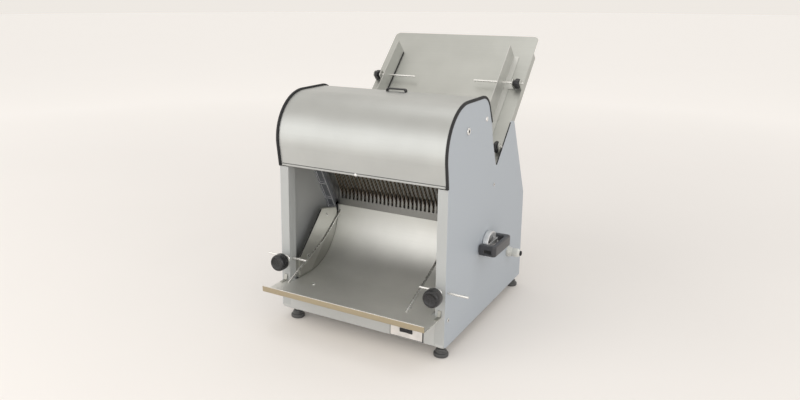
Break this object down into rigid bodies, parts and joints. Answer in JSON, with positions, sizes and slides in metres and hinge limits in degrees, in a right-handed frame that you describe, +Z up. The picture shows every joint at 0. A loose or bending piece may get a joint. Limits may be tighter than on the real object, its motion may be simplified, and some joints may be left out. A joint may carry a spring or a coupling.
{
  "type": "bread slicer with crank",
  "caption": "Bench bread slicer: a steep chute feeds a loaf through two reciprocating frames of serrated blades to a curved tray; bow crank and hub on the right side.",
  "frame": {"origin": "on the ground, at the middle of its overall width and depth, which is midway between the front and the rear feet", "axes": "+X to the right of someone at the outfeed tray (the crank side), +Y back towards the infeed chute, +Z up"},
  "size_m": [0.563, 0.7244, 0.7117],
  "materials": {
    "panel_paint": "fine textured grey coat",
    "brushed_stainless": "brushed",
    "bright_steel": "bright, turned or drawn",
    "blade_steel": "ground",
    "frame_metal": "machined",
    "guide_plastic": "moulded, matt",
    "black_plastic": "moulded, satin",
    "black_rubber": "matt",
    "cream_plastic": "satin",
    "motor_paint": "smooth enamel",
    "steel_parts": "plain steel"
  },
  "bodies": {
    "cabinet": {"left_side_panel": "panel_paint", "right_side_panel": "panel_paint", "lower_front_panel": "panel_paint", "base_plate": "panel_paint", "rear_panel": "panel_paint", "tie_bars": "bright_steel", "casing_screws": "bright_steel", "left_edge_trim": "black_rubber", "right_edge_trim": "black_rubber", "hood_pivots": "bright_steel", "outfeed_tray": "brushed_stainless", "tray_hooks": "bright_steel", "comb_plate": "brushed_stainless", "left_cheek_plate": "panel_paint", "right_cheek_plate": "panel_paint", "cheek_strips": "brushed_stainless", "clamp_blocks": "bright_steel", "infeed_chute": "brushed_stainless", "rod_lugs": "brushed_stainless", "loaf_guide_rods": "bright_steel", "left_frame_guide": "guide_plastic", "right_frame_guide": "guide_plastic", "shaft_bearings": "steel_parts", "drive_belt": "black_rubber", "drive_motor": "motor_paint", "motor_bracket": "steel_parts", "feet": "black_rubber", "foot_studs": "bright_steel", "switch_plate": "cream_plastic", "cable_gland": "cream_plastic", "gland_seal": "black_rubber"},
    "hood": {"hood_cover": "brushed_stainless", "hood_handle": "black_plastic"},
    "crank": {"crank_shaft": "bright_steel", "eccentrics": "steel_parts", "crank_hub": "bright_steel", "crank_bar": "bright_steel", "crank_grip": "black_plastic", "crank_screws": "bright_steel", "driven_pulley": "steel_parts"},
    "front_rods": {"front_connecting_rods": "steel_parts"},
    "rear_rods": {"rear_connecting_rods": "steel_parts"},
    "motor_rotor": {"motor_rotor": "steel_parts"},
    "front_frame": {"front_blade_frame": "frame_metal", "front_blade_holders": "frame_metal", "front_blades": "blade_steel"},
    "rear_frame": {"rear_blade_frame": "frame_metal", "rear_blade_holders": "frame_metal", "rear_blades": "blade_steel"},
    "left_wire": {"left_wire_guide": "bright_steel"},
    "right_wire": {"right_wire_guide": "bright_steel"},
    "left_clamp": {"left_clamp_knob": "black_plastic"},
    "right_clamp": {"right_clamp_knob": "black_plastic"},
    "left_loaf": {"left_loaf_guide": "brushed_stainless"},
    "right_loaf": {"right_loaf_guide": "brushed_stainless"},
    "upper_left_star": {"upper_left_star_knob": "black_plastic"},
    "upper_right_star": {"upper_right_star_knob": "black_plastic"},
    "lower_left_star": {"lower_left_star_knob": "black_plastic"},
    "lower_right_star": {"lower_right_star_knob": "black_plastic"},
    "switch": {"switch_rocker": "black_plastic"}
  },
  "joints": [
    {"name": "hood_hinge", "type": "hinge", "parent": "cabinet", "child": "hood", "pos_m": [0, -0.049, 0.5365], "axis": [-1, 0, 0], "range_deg": [0, 75]},
    {"name": "crank_turn", "type": "hinge", "parent": "cabinet", "child": "crank", "pos_m": [0.237, -0.016, 0.2105], "axis": [1, 0, 0], "continuous": true},
    {"name": "front_rods_swing", "type": "hinge", "parent": "crank", "child": "front_rods", "pos_m": [0.19855, -0.02466, 0.2055], "axis": [1, 0, 0], "continuous": true},
    {"name": "rear_rods_swing", "type": "hinge", "parent": "crank", "child": "rear_rods", "pos_m": [0.20335, -0.00734, 0.2155], "axis": [1, 0, 0], "continuous": true},
    {"name": "motor_turn", "type": "hinge", "parent": "cabinet", "child": "motor_rotor", "pos_m": [-0.215, 0.157, 0.124], "axis": [1, 0, 0], "continuous": true},
    {"name": "front_frame_slide", "type": "slide", "parent": "cabinet", "child": "front_frame", "axis": [0, -0.5, 0.866], "range_m": [-0.01, 0.01]},
    {"name": "rear_frame_slide", "type": "slide", "parent": "cabinet", "child": "rear_frame", "axis": [0, -0.5, 0.866], "range_m": [-0.01, 0.01]},
    {"name": "left_wire_slide", "type": "slide", "parent": "cabinet", "child": "left_wire", "axis": [1, 0, 0], "range_m": [-0.025, 0.05]},
    {"name": "left_clamp_turn", "type": "hinge", "parent": "cabinet", "child": "left_clamp", "pos_m": [-0.213, -0.298, 0.165], "axis": [0, -1, 0], "range_deg": [-180, 180]},
    {"name": "left_loaf_slide", "type": "slide", "parent": "cabinet", "child": "left_loaf", "axis": [1, 0, 0], "range_m": [0, 0.06]},
    {"name": "upper_left_star_turn", "type": "hinge", "parent": "cabinet", "child": "upper_left_star", "pos_m": [-0.214, 0.2118, 0.59526], "axis": [-1, 0, 0], "range_deg": [-180, 180]},
    {"name": "lower_left_star_turn", "type": "hinge", "parent": "cabinet", "child": "lower_left_star", "pos_m": [-0.218, 0.06402, 0.44747], "axis": [1, 0, 0], "range_deg": [-180, 180]},
    {"name": "right_wire_slide", "type": "slide", "parent": "cabinet", "child": "right_wire", "axis": [-1, 0, 0], "range_m": [-0.025, 0.05]},
    {"name": "right_clamp_turn", "type": "hinge", "parent": "cabinet", "child": "right_clamp", "pos_m": [0.213, -0.298, 0.165], "axis": [0, -1, 0], "range_deg": [-180, 180]},
    {"name": "right_loaf_slide", "type": "slide", "parent": "cabinet", "child": "right_loaf", "axis": [-1, 0, 0], "range_m": [0, 0.06]},
    {"name": "upper_right_star_turn", "type": "hinge", "parent": "cabinet", "child": "upper_right_star", "pos_m": [0.214, 0.2118, 0.59526], "axis": [1, 0, 0], "range_deg": [-180, 180]},
    {"name": "lower_right_star_turn", "type": "hinge", "parent": "cabinet", "child": "lower_right_star", "pos_m": [0.218, 0.06402, 0.44747], "axis": [-1, 0, 0], "range_deg": [-180, 180]},
    {"name": "switch_rock", "type": "hinge", "parent": "cabinet", "child": "switch", "pos_m": [0.133, -0.269, 0.052], "axis": [0, 0, 1], "range_deg": [-8, 8]}
  ],
  "couplings": [
    {"joint": "front_rods_swing", "follows": "crank_turn", "ratio": -1},
    {"joint": "rear_rods_swing", "follows": "crank_turn", "ratio": -1},
    {"joint": "motor_turn", "follows": "crank_turn", "ratio": 2.5},
    {"joint": "rear_frame_slide", "follows": "front_frame_slide", "ratio": -1}
  ]
}
